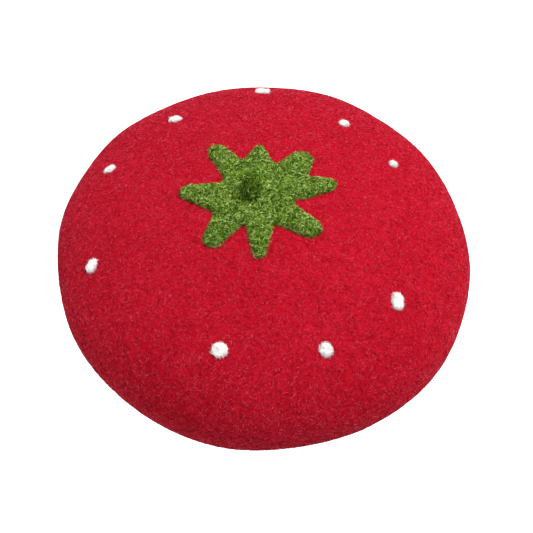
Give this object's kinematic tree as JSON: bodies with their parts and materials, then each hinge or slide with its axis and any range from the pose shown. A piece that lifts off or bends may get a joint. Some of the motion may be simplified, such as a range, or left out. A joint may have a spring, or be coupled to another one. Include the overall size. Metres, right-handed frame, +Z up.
{
  "type": "beret",
  "caption": "Felt beret styled as a strawberry: domed seamless crown with rolled rim, lobed leaf calyx, short stalk, seed dots and a ribbon sweatband.",
  "frame": {"origin": "on the table, below the centre of the crown, at the bottom centre of the bounding box", "axes": "+Z up out of the crown, +X to the right with the stalk left of centre, +Y towards the back of the hat"},
  "size_m": [0.28, 0.28, 0.0986],
  "materials": {
    "felt_red": "fuzzy fulled wool felt",
    "felt_green": "needle-felted wool, loose fibres",
    "felt_white": "needle-felted wool, loose fibres",
    "ribbon_red": "ribbed grosgrain ribbon",
    "thread_red": "spun sewing thread"
  },
  "bodies": {
    "root": {"crown": "felt_red", "calyx": "felt_green", "stalk": "felt_green", "sweatband": "ribbon_red", "sweatband_stitching": "thread_red", "seed_1": "felt_white", "seed_2": "felt_white", "seed_3": "felt_white", "seed_4": "felt_white", "seed_5": "felt_white", "seed_6": "felt_white", "seed_7": "felt_white", "seed_8": "felt_white", "seed_9": "felt_white"}
  },
  "joints": []
}
